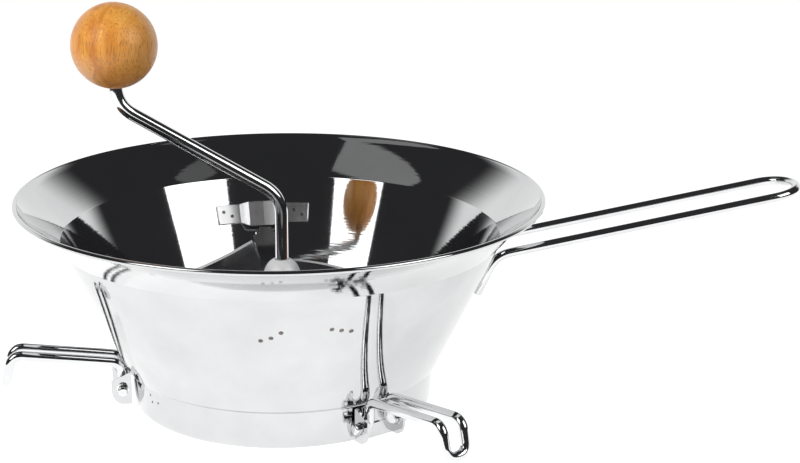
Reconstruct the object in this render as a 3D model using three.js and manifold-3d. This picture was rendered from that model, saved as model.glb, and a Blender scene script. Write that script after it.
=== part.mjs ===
// Rotary food mill: a spun steel bowl on a short collar, a sieve disc seated in the collar, a crank with an
// auger blade under a sprung crossbar, a wire loop handle and three hinged wire feet that hook on a pot.
// Millimetres, +Z up. The bowl axis is vertical, the handle points along +X, and Z = 0 is the collar's base.

import * as THREE from 'three';
import { mergeVertices } from 'three/addons/utils/BufferGeometryUtils.js';
import Module from 'manifold-3d';

const wasm = await Module();
wasm.setup();

// ---- Driving dimensions ------------------------------------------------------------------------------

const FIT = 0.3;

// Bowl: outer radii and heights of the spun sheet
const SHEET = 1;
const RIM_RADIUS = 118.9;
const RIM_HEIGHT = 95.8;
const BEAD_RADIUS = 1.1;
const LIP_RADIUS = 115;
const LIP_HEIGHT = 94.2;
const FLARE_RADIUS = 100.6;
const FLARE_HEIGHT = 78.2;
const STEP_RADIUS = 72.3;
const STEP_HEIGHT = 18.7;
const COLLAR_RADIUS = 70;
const COLLAR_HEIGHT = 17.2;
const BASE_RADIUS = 66.6;
const BASE_CURL = 2.4;
const SEAT_RADIUS = 59;

// Sieve disc
const DISC_RADIUS = 67.3;
const DISC_RING_RADIUS = 60;
const DISC_THICKNESS = 1;
const DISC_LOW = 1.4;
const DISC_STEP = 1.2;
const DISC_CROWN = 1.6;
const DISC_LIP = 1.2;
const DISC_HOLE_RADIUS = 1.9;
const DISC_HOLE_ROWS = [18, 32, 46];
const DISC_HOLE_SPACING = 11;

// Loop handle
const HANDLE_WIRE = 2.15;
const HANDLE_HALF_WIDTH = 13.8;
const HANDLE_ROOT_HEIGHT = 50;
const HANDLE_BEND_HEIGHT = 67.6;
const HANDLE_END_HEIGHT = 93.6;
const HANDLE_REACH = 243;

// Crank
const ROD_RADIUS = 3;
const ROD_TIP = 1.4;
const ROD_ELBOW_HEIGHT = 95.2;
const ROD_BEND = 9;
const CRANK_AZIMUTH = 180;
const ARM_RADIUS = 72.4;
const ARM_END_HEIGHT = 138.9;

// Knob, measured from the middle of its ball
const KNOB_RADIUS = 19;
const KNOB_HEIGHT = 165.6;
const BORE_TOP = 10;
const STEM_TOP = 8;
const BUSH_BOTTOM = -17;
const BUSH_TOP = 5;
const BUSH_WALL = 1;
const CLIP_THICKNESS = 1;

// Auger and hub
const SLEEVE_RADIUS = 6.2;
const SLEEVE_BOTTOM = 5.6;
const SLEEVE_TOP = 38;
const PIN_RADIUS = 1.2;
const PIN_HEIGHT = 33;
const PIN_LENGTH = 13.4;
const BLADE_THICKNESS = 0.9;
const BLADE_GAP = 0.7;

// Sprung crossbar
const BAR_AZIMUTH = 92;
const BAR_BOTTOM = 56;
const BAR_THICKNESS = 1.5;
const BAR_HALF_LENGTH = 83.4;
const BAR_HALF_WIDTH = 7.4;
const BAR_SHOULDER = 66;
const TONGUE_ROOT = 75;
const TONGUE_HALF_WIDTH = 3;
const DOME_RADIUS = 8.4;
const SPRING_WIRE = 0.8;
const SPRING_RADIUS = 5.4;
const SPRING_TURNS = 4;
const WASHER_RADIUS = 7;
const WASHER_THICKNESS = 1;
const LOWER_WASHER = SLEEVE_TOP + FIT;
const UPPER_WASHER = BAR_BOTTOM - FIT - WASHER_THICKNESS;

// Catches for the crossbar, spot-welded inside the bowl
const CATCH_LOW = 58;
const CATCH_HIGH = 66.4;
const CATCH_THICKNESS = 1;
const CATCH_HALF_ANGLE = 14.6;
const CATCH_BRIDGE_DEPTH = 5.6;
const CATCH_FOLD = 0.6;

// Hinged feet
const FOOT_AZIMUTHS = { left: 180, front: -60, rear: 60 };
const FOOT_TILT = 6.5;
const FOOT_WIRE = 2.3;
const FOOT_HALF_WIDTH = 5.35;
const FOOT_REACH = 49.6;
const FOOT_RISE = 11.2;
const FOOT_DROP = 14.5;
const FOOT_SPLAY = 2;
const FOOT_STUB = 3.6;
const FOOT_BEND = 5;
const PIVOT_RADIUS = 74.2;
const PIVOT_HEIGHT = 8.6;
const EAR_HALF_SPAN = 10.4;
const EAR_THICKNESS = 1.2;
const EAR_REACH = 5.2;
const EAR_DROP = 7.2;
const EAR_OUTER_HEIGHT = 12.4;
const EAR_ROOT_HEIGHT = 16.4;

// ---- Materials ---------------------------------------------------------------------------------------

const steel = (color, roughness) => new THREE.MeshStandardMaterial({ color, roughness, metalness: 1 });
const POLISHED = () => steel(0xd9dbde, 0.08);
const BRUSHED = () => steel(0xc4c7cb, 0.3);
const WOOD = () => new THREE.MeshStandardMaterial({ color: 0xd59a55, roughness: 0.45, metalness: 0 });
const BRASS = () => steel(0xb8934a, 0.35);

// ---- Shared helpers ----------------------------------------------------------------------------------

const radians = THREE.MathUtils.degToRad;
const point = (x, y, z) => new THREE.Vector3(x, y, z);
const flat = (x, y) => new THREE.Vector2(x, y);
const polar = (radius, azimuth, height) => (
  point(radius * Math.cos(radians(azimuth)), radius * Math.sin(radians(azimuth)), height)
);

function part(name, geometry, material) {
  const mesh = new THREE.Mesh(geometry, material);
  mesh.name = name;
  return mesh;
}

// A profile of [radius, height], closed on its first point and turned about Z.
function turned(profile, segments) {
  const outline = [...profile, profile[0]].map(([radius, height]) => flat(radius, height));
  return new THREE.LatheGeometry(outline, segments).rotateX(Math.PI / 2);
}

// A ring of rectangular section about Z.
function ring(inner, outer, low, high, segments = 16) {
  return turned([[inner, low], [outer, low], [outer, high], [inner, high]], segments);
}

// Points on an arc in a profile, from one angle to another in degrees.
function arc(centre, radius, from, to, steps) {
  const points = [];
  for (let i = 0; i <= steps; i += 1) {
    const angle = radians(from + (to - from) * i / steps);
    points.push([centre[0] + radius * Math.cos(angle), centre[1] + radius * Math.sin(angle)]);
  }
  return points;
}

// Straight runs joined by smooth bends of about the given radius.
function bentPath(corners, bend) {
  const path = new THREE.CurvePath();
  let from = corners[0];
  for (let i = 1; i < corners.length - 1; i += 1) {
    const corner = corners[i];
    const before = corners[i - 1].clone().sub(corner);
    const after = corners[i + 1].clone().sub(corner);
    const cut = Math.min(bend, before.length() * 0.48, after.length() * 0.48);
    const enter = corner.clone().add(before.setLength(cut));
    const leave = corner.clone().add(after.setLength(cut));
    path.add(new THREE.LineCurve3(from, enter));
    path.add(new THREE.QuadraticBezierCurve3(enter, corner, leave));
    from = leave;
  }
  path.add(new THREE.LineCurve3(from, corners[corners.length - 1]));
  return path;
}

// A round wire of the given radius along a path.
function wire(path, radius, steps, sides) {
  const outline = [];
  for (let i = 0; i < sides; i += 1) {
    const angle = 2 * Math.PI * (i + 0.5) / sides;
    outline.push(flat(radius * Math.cos(angle), radius * Math.sin(angle)));
  }
  return new THREE.ExtrudeGeometry(new THREE.Shape(outline), { steps, extrudePath: path });
}

// A flat outline in XY raised from one height to another.
function plate(outline, low, high) {
  const shape = outline instanceof THREE.Shape ? outline : new THREE.Shape(outline);
  const settings = { depth: high - low, bevelEnabled: false, curveSegments: 6 };
  return new THREE.ExtrudeGeometry(shape, settings).translate(0, 0, low);
}

// A rod along Y, centred on a point.
function crossRod(radius, length, centre, sides = 12) {
  return new THREE.CylinderGeometry(radius, radius, length, sides).translate(centre.x, centre.y, centre.z);
}

function solid(geometry) {
  const bare = geometry.clone();
  bare.deleteAttribute('normal');
  bare.deleteAttribute('uv');
  const merged = mergeVertices(bare, 1e-4);
  const vertProperties = new Float32Array(merged.attributes.position.array);
  const triVerts = new Uint32Array(merged.index.array);
  return new wasm.Manifold(new wasm.Mesh({ numProp: 3, vertProperties, triVerts }));
}

function geometryOf(manifold) {
  const mesh = manifold.getMesh();
  const geometry = new THREE.BufferGeometry();
  geometry.setAttribute('position', new THREE.BufferAttribute(new Float32Array(mesh.vertProperties), 3));
  geometry.setIndex(new THREE.BufferAttribute(new Uint32Array(mesh.triVerts), 1));
  geometry.computeVertexNormals();
  return geometry;
}

// A closed sheet between two grids of points: rows of points for the top, and the same rows for the bottom.
function sheetSolid(top, bottom) {
  const rows = top.length;
  const columns = top[0].length;
  const positions = [];
  for (const grid of [top, bottom]) {
    for (const row of grid) {
      for (const p of row) positions.push(p.x, p.y, p.z);
    }
  }
  const upper = (i, j) => i * columns + j;
  const lower = (i, j) => (rows + i) * columns + j;
  const faces = [];
  const quad = (a, b, c, d) => faces.push(a, b, c, a, c, d);
  for (let i = 0; i < rows - 1; i += 1) {
    for (let j = 0; j < columns - 1; j += 1) {
      quad(upper(i, j), upper(i, j + 1), upper(i + 1, j + 1), upper(i + 1, j));
      quad(lower(i, j), lower(i + 1, j), lower(i + 1, j + 1), lower(i, j + 1));
    }
    quad(upper(i, 0), upper(i + 1, 0), lower(i + 1, 0), lower(i, 0));
    quad(upper(i, columns - 1), lower(i, columns - 1), lower(i + 1, columns - 1), upper(i + 1, columns - 1));
  }
  for (let j = 0; j < columns - 1; j += 1) {
    quad(upper(0, j), lower(0, j), lower(0, j + 1), upper(0, j + 1));
    quad(upper(rows - 1, j), upper(rows - 1, j + 1), lower(rows - 1, j + 1), lower(rows - 1, j));
  }
  const geometry = new THREE.BufferGeometry();
  geometry.setAttribute('position', new THREE.BufferAttribute(new Float32Array(positions), 3));
  geometry.setIndex(faces);
  geometry.computeVertexNormals();
  return geometry;
}

// ---- Bowl --------------------------------------------------------------------------------------------

const CONE_SLOPE = (FLARE_RADIUS - STEP_RADIUS) / (FLARE_HEIGHT - STEP_HEIGHT);
const CONE_ANGLE = Math.atan(CONE_SLOPE);
const coneRadius = (height) => STEP_RADIUS + (height - STEP_HEIGHT) * CONE_SLOPE;
const innerConeRadius = (height) => coneRadius(height) - SHEET / Math.cos(CONE_ANGLE);

function bowl() {
  const base = [BASE_RADIUS, BASE_CURL];
  const profile = [
    [SEAT_RADIUS, 0],
    ...arc(base, BASE_CURL, -90, 0, 3),
    [COLLAR_RADIUS, COLLAR_HEIGHT],
    [STEP_RADIUS, STEP_HEIGHT],
    [FLARE_RADIUS, FLARE_HEIGHT],
    [LIP_RADIUS, LIP_HEIGHT - SHEET],
    ...arc([RIM_RADIUS, RIM_HEIGHT], BEAD_RADIUS, -100, 170, 5),
    [LIP_RADIUS, LIP_HEIGHT + 0.2],
    [FLARE_RADIUS - SHEET, FLARE_HEIGHT + SHEET / 2],
    [STEP_RADIUS - SHEET, STEP_HEIGHT + SHEET / 2],
    [COLLAR_RADIUS - SHEET, COLLAR_HEIGHT + SHEET / 2],
    ...arc(base, BASE_CURL - SHEET, 0, -90, 2),
    [SEAT_RADIUS, SHEET],
  ];
  return part('bowl', turned(profile, 52), POLISHED());
}

// ---- Sieve disc --------------------------------------------------------------------------------------

const DISC_TOP = DISC_LOW + DISC_THICKNESS;

function sieveDisc() {
  const eye = ROD_RADIUS + FIT;
  const dish = DISC_STEP + DISC_CROWN;
  const profile = [
    [eye, DISC_LOW + dish],
    [DISC_RING_RADIUS - 2.5, DISC_LOW + DISC_STEP],
    [DISC_RING_RADIUS, DISC_LOW],
    [DISC_RADIUS, DISC_LOW],
    [DISC_RADIUS, DISC_TOP + DISC_LIP],
    [DISC_RADIUS - DISC_THICKNESS, DISC_TOP + DISC_LIP],
    [DISC_RADIUS - DISC_THICKNESS, DISC_TOP],
    [DISC_RING_RADIUS - 0.5, DISC_TOP],
    [DISC_RING_RADIUS - 3, DISC_TOP + DISC_STEP],
    [eye, DISC_TOP + dish],
  ];
  const holes = [];
  for (const row of DISC_HOLE_ROWS) {
    const count = Math.floor(2 * Math.PI * row / DISC_HOLE_SPACING);
    for (let i = 0; i < count; i += 1) {
      const centre = polar(row, 360 * i / count, DISC_TOP);
      const punch = new THREE.CylinderGeometry(DISC_HOLE_RADIUS, DISC_HOLE_RADIUS, 12, 5).rotateX(Math.PI / 2);
      holes.push(solid(punch.translate(centre.x, centre.y, centre.z)));
    }
  }
  const disc = solid(turned(profile, 48)).subtract(wasm.Manifold.union(holes));
  return part('sieve_disc', geometryOf(disc), BRUSHED());
}

// ---- Loop handle -------------------------------------------------------------------------------------

function handle() {
  const stand = (HANDLE_WIRE + FIT) / Math.cos(CONE_ANGLE);
  const along = (height) => Math.sqrt((coneRadius(height) + stand) ** 2 - HANDLE_HALF_WIDTH ** 2);
  const root = along(HANDLE_ROOT_HEIGHT);
  const bend = along(HANDLE_BEND_HEIGHT);
  const slope = (HANDLE_END_HEIGHT - HANDLE_BEND_HEIGHT) / (HANDLE_REACH - bend);
  const turn = HANDLE_REACH - HANDLE_HALF_WIDTH;
  const rise = (x) => HANDLE_BEND_HEIGHT + (x - bend) * slope;
  const straight = (side) => [
    point(root, side * HANDLE_HALF_WIDTH, HANDLE_ROOT_HEIGHT),
    point(bend, side * HANDLE_HALF_WIDTH, HANDLE_BEND_HEIGHT),
    point(turn, side * HANDLE_HALF_WIDTH, rise(turn)),
  ];
  const [nearRoot, nearBend, nearTurn] = straight(-1);
  const [farRoot, farBend, farTurn] = straight(1);
  const tip = point(HANDLE_REACH, 0, rise(HANDLE_REACH));
  const quarter = HANDLE_HALF_WIDTH * 0.5523;
  const ahead = point(quarter, 0, quarter * slope);
  const aside = point(0, quarter, 0);
  const path = new THREE.CurvePath();
  path.curves.push(...bentPath([nearRoot, nearBend, nearTurn], 7).curves);
  path.add(new THREE.CubicBezierCurve3(nearTurn, nearTurn.clone().add(ahead), tip.clone().sub(aside), tip));
  path.add(new THREE.CubicBezierCurve3(tip, tip.clone().add(aside), farTurn.clone().add(ahead), farTurn));
  path.curves.push(...bentPath([farTurn, farBend, farRoot], 7).curves);
  return part('handle_loop', wire(path, HANDLE_WIRE, 66, 7), POLISHED());
}

// ---- Crossbar catches --------------------------------------------------------------------------------

// Tab, bridge and tab of one strap: [degrees from its middle, distance it stands in from the wall].
const CATCH_OUTLINE = [
  [-CATCH_HALF_ANGLE, 0],
  [-10.9, 0],
  [-7.2, 0],
  [-5.2, CATCH_BRIDGE_DEPTH],
  [0, CATCH_BRIDGE_DEPTH + CATCH_FOLD],
  [5.2, CATCH_BRIDGE_DEPTH],
  [7.2, 0],
  [10.9, 0],
  [CATCH_HALF_ANGLE, 0],
];

// The strap stands off along the wall's slope, and its lower edge stays level.
function barCatch(name, azimuth) {
  const column = (offset, stand) => {
    const lift = stand * Math.sin(CONE_ANGLE);
    return [CATCH_LOW - lift, CATCH_HIGH].map((height) => {
      const radius = innerConeRadius(height) - FIT - stand * Math.cos(CONE_ANGLE);
      return polar(radius, azimuth + offset, height + lift);
    });
  };
  const inner = CATCH_OUTLINE.map(([offset, stand]) => column(offset, stand + CATCH_THICKNESS));
  const outer = CATCH_OUTLINE.map(([offset, stand]) => column(offset, stand));
  return part(name, sheetSolid(inner, outer), POLISHED());
}

// ---- Crank -------------------------------------------------------------------------------------------

const STEM = polar(ARM_RADIUS, CRANK_AZIMUTH, 0);

function crankRod() {
  const path = bentPath([
    point(0, 0, ROD_TIP),
    point(0, 0, ROD_ELBOW_HEIGHT),
    point(STEM.x, STEM.y, ARM_END_HEIGHT),
    point(STEM.x, STEM.y, KNOB_HEIGHT + STEM_TOP),
  ], ROD_BEND);
  const pinHole = crossRod(PIN_RADIUS + FIT, 20, point(0, 0, PIN_HEIGHT), 8);
  const rod = solid(wire(path, ROD_RADIUS, 50, 10)).subtract(solid(pinHole));
  return part('crank_rod', geometryOf(rod), POLISHED());
}

function bladeSleeve() {
  const tube = solid(ring(ROD_RADIUS + FIT, SLEEVE_RADIUS, SLEEVE_BOTTOM, SLEEVE_TOP));
  const pinHole = solid(crossRod(PIN_RADIUS + FIT, 20, point(0, 0, PIN_HEIGHT), 8));
  return part('blade_sleeve', geometryOf(tube.subtract(pinHole)), BRUSHED());
}

function bladePin() {
  return part('blade_pin', crossRod(PIN_RADIUS, PIN_LENGTH, point(0, 0, PIN_HEIGHT), 8), BRUSHED());
}

// Each rib of a vane: [azimuth, outer radius, height at that radius, height at the sleeve].
const SCRAPE = DISC_TOP + DISC_STEP + DISC_CROWN + BLADE_THICKNESS + BLADE_GAP;

const AUGER_RIBS = [
  [97, 79, 51.4, 37],
  [106, 75.5, 47.2, 36],
  [120, 71.5, 43.8, 34.5],
  [145, 68.5, 42.3, 31],
  [180, 67, 33.5, 25],
  [222, 66, 19, 17],
  [255, 65, SCRAPE + 3.5, SCRAPE + 4],
  [279, 64.4, SCRAPE, SCRAPE],
];

const TAIL_RIBS = [
  [52, 64.5, 42, 31],
  [70, 65, 44.2, 33],
  [86, 65, 45.6, 35],
];

function vane(name, ribs, steps) {
  const spans = 4;
  const root = SLEEVE_RADIUS + FIT;
  const edge = new THREE.CatmullRomCurve3(ribs.map(([azimuth, radius, height]) => point(azimuth, radius, height)));
  const foot = new THREE.CatmullRomCurve3(ribs.map(([azimuth, , , height]) => point(azimuth, root, height)));
  const grid = (drop) => {
    const rows = [];
    for (let i = 0; i <= steps; i += 1) {
      const outer = edge.getPoint(i / steps);
      const inner = foot.getPoint(i / steps);
      const row = [];
      for (let j = 0; j <= spans; j += 1) {
        const radius = THREE.MathUtils.lerp(root, outer.y, j / spans);
        const height = THREE.MathUtils.lerp(inner.z, outer.z, j / spans);
        row.push(polar(radius, outer.x, height - drop));
      }
      rows.push(row);
    }
    return rows;
  };
  return part(name, sheetSolid(grid(0), grid(BLADE_THICKNESS)), POLISHED());
}

// ---- Sprung crossbar ---------------------------------------------------------------------------------

function crossbar() {
  const shape = new THREE.Shape();
  const round = BAR_HALF_LENGTH - TONGUE_HALF_WIDTH;
  const waist = BAR_SHOULDER + 3;
  shape.moveTo(round, -TONGUE_HALF_WIDTH);
  shape.absarc(round, 0, TONGUE_HALF_WIDTH, -Math.PI / 2, Math.PI / 2);
  shape.lineTo(TONGUE_ROOT, TONGUE_HALF_WIDTH);
  shape.quadraticCurveTo(waist, TONGUE_HALF_WIDTH, BAR_SHOULDER, BAR_HALF_WIDTH);
  shape.lineTo(-BAR_SHOULDER, BAR_HALF_WIDTH);
  shape.quadraticCurveTo(-waist, TONGUE_HALF_WIDTH, -TONGUE_ROOT, TONGUE_HALF_WIDTH);
  shape.lineTo(-round, TONGUE_HALF_WIDTH);
  shape.absarc(-round, 0, TONGUE_HALF_WIDTH, Math.PI / 2, 3 * Math.PI / 2);
  shape.lineTo(-TONGUE_ROOT, -TONGUE_HALF_WIDTH);
  shape.quadraticCurveTo(-waist, -TONGUE_HALF_WIDTH, -BAR_SHOULDER, -BAR_HALF_WIDTH);
  shape.lineTo(BAR_SHOULDER, -BAR_HALF_WIDTH);
  shape.quadraticCurveTo(waist, -TONGUE_HALF_WIDTH, TONGUE_ROOT, -TONGUE_HALF_WIDTH);
  const hole = new THREE.Path();
  hole.absarc(0, 0, ROD_RADIUS + FIT, 0, 2 * Math.PI, true);
  shape.holes.push(hole);
  const geometry = plate(shape, BAR_BOTTOM, BAR_BOTTOM + BAR_THICKNESS);
  return part('crossbar', geometry.rotateZ(radians(BAR_AZIMUTH)), POLISHED());
}

function hubDome() {
  const base = [0, BAR_BOTTOM + BAR_THICKNESS + FIT];
  const inside = DOME_RADIUS - SHEET;
  const opening = (radius) => THREE.MathUtils.radToDeg(Math.acos((ROD_RADIUS + FIT) / radius));
  const profile = [
    ...arc(base, DOME_RADIUS, 0, opening(DOME_RADIUS), 4),
    ...arc(base, inside, opening(inside), 0, 4),
  ];
  return part('hub_dome', turned(profile, 20), POLISHED());
}

function spring() {
  const low = LOWER_WASHER + WASHER_THICKNESS + FIT + SPRING_WIRE;
  const high = UPPER_WASHER - FIT - SPRING_WIRE;
  class Coil extends THREE.Curve {
    getPoint(share, target = new THREE.Vector3()) {
      const angle = 2 * Math.PI * SPRING_TURNS * share;
      const height = low + (high - low) * share;
      return target.set(SPRING_RADIUS * Math.cos(angle), SPRING_RADIUS * Math.sin(angle), height);
    }
  }
  return part('hub_spring', wire(new Coil(), SPRING_WIRE, SPRING_TURNS * 12, 5), BRUSHED());
}

function springWasher(name, low) {
  return part(name, ring(ROD_RADIUS + FIT, WASHER_RADIUS, low, low + WASHER_THICKNESS), BRUSHED());
}

// ---- Knob --------------------------------------------------------------------------------------------

const BUSH_RADIUS = ROD_RADIUS + FIT + BUSH_WALL;
const BORE_RADIUS = BUSH_RADIUS + FIT;

function knob() {
  const mouth = THREE.MathUtils.radToDeg(Math.asin(BORE_RADIUS / KNOB_RADIUS)) - 90;
  const ball = arc([0, 0], KNOB_RADIUS, mouth, 90, 14).slice(0, -1);
  const profile = [...ball, [0, KNOB_RADIUS], [0, BORE_TOP], [BORE_RADIUS, BORE_TOP]];
  return part('knob', turned(profile, 24), WOOD());
}

function knobBush() {
  return part('knob_bush', ring(ROD_RADIUS + FIT, BUSH_RADIUS, BUSH_BOTTOM, BUSH_TOP), BRASS());
}

function knobClip() {
  const low = BUSH_TOP + FIT;
  return part('knob_clip', ring(ROD_RADIUS + FIT, BUSH_RADIUS, low, low + CLIP_THICKNESS), BRUSHED());
}

// ---- Feet --------------------------------------------------------------------------------------------
// Each foot and its bracket are drawn with X outwards from the bowl's wall, then turned to their azimuth.

function footBracket(name) {
  const root = COLLAR_RADIUS + FIT;
  const web = root + EAR_THICKNESS;
  const tip = PIVOT_RADIUS + EAR_REACH;
  const inside = EAR_HALF_SPAN - EAR_THICKNESS;
  const channel = plate([
    flat(root, -EAR_HALF_SPAN),
    flat(tip, -EAR_HALF_SPAN),
    flat(tip, -inside),
    flat(web, -inside),
    flat(web, inside),
    flat(tip, inside),
    flat(tip, EAR_HALF_SPAN),
    flat(root, EAR_HALF_SPAN),
  ], 0, 30);
  const side = new THREE.Shape();
  side.moveTo(root - 1, PIVOT_HEIGHT - EAR_DROP);
  side.lineTo(PIVOT_RADIUS, PIVOT_HEIGHT - EAR_DROP);
  side.absellipse(PIVOT_RADIUS, PIVOT_HEIGHT, EAR_REACH, EAR_DROP, -Math.PI / 2, 0);
  side.lineTo(tip, EAR_OUTER_HEIGHT);
  side.lineTo(web, EAR_ROOT_HEIGHT);
  side.lineTo(root - 1, EAR_ROOT_HEIGHT);
  const outline = plate(side, -30, 30).rotateX(Math.PI / 2);
  const holes = crossRod(FOOT_WIRE + 2 * FIT, 60, point(PIVOT_RADIUS, 0, PIVOT_HEIGHT), 12);
  const bracket = solid(channel).intersect(solid(outline)).subtract(solid(holes));
  return part(name, geometryOf(bracket), POLISHED());
}

// The foot's top rail tips up about its shoulder, above the pivot.
function footWire(name) {
  const tilt = radians(FOOT_TILT);
  const lean = (along, above) => [
    PIVOT_RADIUS + along * Math.cos(tilt) - above * Math.sin(tilt),
    PIVOT_HEIGHT + FOOT_RISE + along * Math.sin(tilt) + above * Math.cos(tilt),
  ];
  const [outX, outZ] = lean(FOOT_REACH, 0);
  const [endX, endZ] = lean(FOOT_REACH + FOOT_SPLAY, -FOOT_DROP);
  const half = (side) => [
    point(PIVOT_RADIUS, side * (EAR_HALF_SPAN + FOOT_STUB), PIVOT_HEIGHT),
    point(PIVOT_RADIUS, side * FOOT_HALF_WIDTH, PIVOT_HEIGHT),
    point(PIVOT_RADIUS, side * FOOT_HALF_WIDTH, PIVOT_HEIGHT + FOOT_RISE),
    point(outX, side * FOOT_HALF_WIDTH, outZ),
    point(endX, side * FOOT_HALF_WIDTH, endZ),
  ];
  const path = bentPath([...half(-1), ...half(1).reverse()], FOOT_BEND);
  return part(name, wire(path, FOOT_WIRE, 60, 7), POLISHED());
}

// ---- Assembly ----------------------------------------------------------------------------------------

const mill = new THREE.Group();
mill.add(bowl(), sieveDisc(), handle());
mill.add(barCatch('catch_front', BAR_AZIMUTH - 180), barCatch('catch_back', BAR_AZIMUTH));

mill.add(crankRod(), bladeSleeve(), bladePin());
mill.add(vane('auger_blade', AUGER_RIBS, 20), vane('tail_blade', TAIL_RIBS, 6));
mill.add(springWasher('washer_lower', LOWER_WASHER));
mill.add(crossbar(), hubDome(), spring(), springWasher('washer_upper', UPPER_WASHER));

const grip = new THREE.Group();
grip.add(knob(), knobBush(), knobClip());
grip.position.set(STEM.x, STEM.y, KNOB_HEIGHT);
mill.add(grip);

for (const [place, azimuth] of Object.entries(FOOT_AZIMUTHS)) {
  const leg = new THREE.Group();
  leg.add(footBracket(`foot_bracket_${place}`), footWire(`foot_${place}`));
  leg.rotation.z = radians(azimuth);
  mill.add(leg);
}

// The origin is the middle of the object's box, on the surface it stands on.
const box = new THREE.Box3().setFromObject(mill, true);
mill.position.set(-(box.min.x + box.max.x) / 2, -(box.min.y + box.max.y) / 2, -box.min.z);

const model = new THREE.Group();
model.add(mill);
export default model;
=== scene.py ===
"""Rotary food mill: polished bowl on a collar, sieve disc, crank with auger blade under a sprung bar,
wire loop handle and three folding wire feet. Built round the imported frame, in metres."""
import math
import bpy
from mathutils import Matrix, Vector, geometry


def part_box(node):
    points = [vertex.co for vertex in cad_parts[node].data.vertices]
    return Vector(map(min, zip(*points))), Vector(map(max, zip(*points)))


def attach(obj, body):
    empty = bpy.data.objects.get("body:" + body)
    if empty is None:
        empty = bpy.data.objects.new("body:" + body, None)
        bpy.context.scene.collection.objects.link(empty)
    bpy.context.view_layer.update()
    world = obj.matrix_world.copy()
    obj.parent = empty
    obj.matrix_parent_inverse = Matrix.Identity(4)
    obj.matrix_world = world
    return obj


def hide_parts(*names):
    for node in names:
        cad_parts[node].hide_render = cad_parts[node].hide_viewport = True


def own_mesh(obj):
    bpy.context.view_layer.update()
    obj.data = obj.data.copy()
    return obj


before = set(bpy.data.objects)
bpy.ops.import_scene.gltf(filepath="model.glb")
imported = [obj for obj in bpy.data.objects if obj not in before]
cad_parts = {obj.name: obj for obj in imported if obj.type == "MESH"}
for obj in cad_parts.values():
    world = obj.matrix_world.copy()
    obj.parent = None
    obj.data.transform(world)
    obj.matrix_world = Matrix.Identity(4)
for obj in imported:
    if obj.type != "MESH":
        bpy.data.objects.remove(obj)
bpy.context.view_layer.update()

MM = 0.001
bowl_low, bowl_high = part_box("bowl")
AXIS = Vector(((bowl_low.x + bowl_high.x) / 2, (bowl_low.y + bowl_high.y) / 2, 0))

# ---- Camera ------------------------------------------------------------------------------------------

SENSOR_WIDTH = 36
LENS_LENGTH = 79.225
CLIP_NEAR, CLIP_FAR = 0.05, 50
CAMERA_RIGHT = Vector((0.990501, -0.137348, 0.006638))
CAMERA_UP = Vector((0.032142, 0.278192, 0.959988))
CAMERA_AHEAD = Vector((0.133699, 0.950655, -0.279964))
CAMERA_FROM_AXIS = Vector((-0.054063, -0.773139, 0.304134))


def make_camera():
    data = bpy.data.cameras.new("camera")
    data.sensor_width = SENSOR_WIDTH
    data.lens = LENS_LENGTH
    data.clip_start = CLIP_NEAR
    data.clip_end = CLIP_FAR
    camera = bpy.data.objects.new("camera", data)
    bpy.context.collection.objects.link(camera)
    turn = Matrix((CAMERA_RIGHT, CAMERA_UP, -CAMERA_AHEAD)).transposed().to_4x4()
    camera.matrix_world = Matrix.Translation(AXIS + CAMERA_FROM_AXIS) @ turn
    bpy.context.scene.camera = camera


make_camera()

# ---- Material helpers --------------------------------------------------------------------------------


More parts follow.
